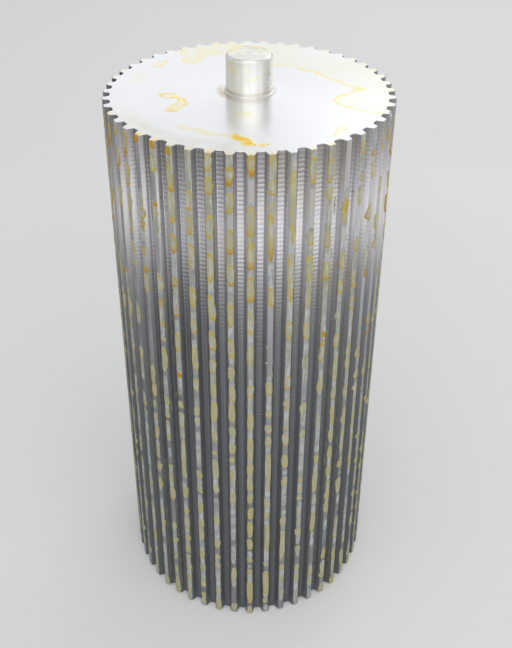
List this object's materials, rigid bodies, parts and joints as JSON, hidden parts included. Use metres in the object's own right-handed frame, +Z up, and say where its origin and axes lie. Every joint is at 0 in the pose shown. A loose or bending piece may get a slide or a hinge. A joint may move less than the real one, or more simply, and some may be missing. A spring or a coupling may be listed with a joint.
{
  "type": "timing belt pulley bar",
  "caption": "Long toothed aluminium pulley bar for a 5 mm pitch timing belt, standing on its flat end, with a short turned spigot in the upper end.",
  "frame": {"origin": "middle of the flat lower end face, on the turning axis", "axes": "+Z up along the turning axis, towards the spigot; a tooth is centred on +X"},
  "size_m": [0.0756, 0.0756, 0.17],
  "materials": {
    "machined_aluminium": "hobbed and turned, with dried cutting oil",
    "turned_aluminium": "fine turned",
    "dried_oil": "thin dried cutting oil, amber at its edges"
  },
  "bodies": {
    "root": {"toothed_bar": "machined_aluminium", "turned_spigot": "turned_aluminium"}
  },
  "joints": []
}
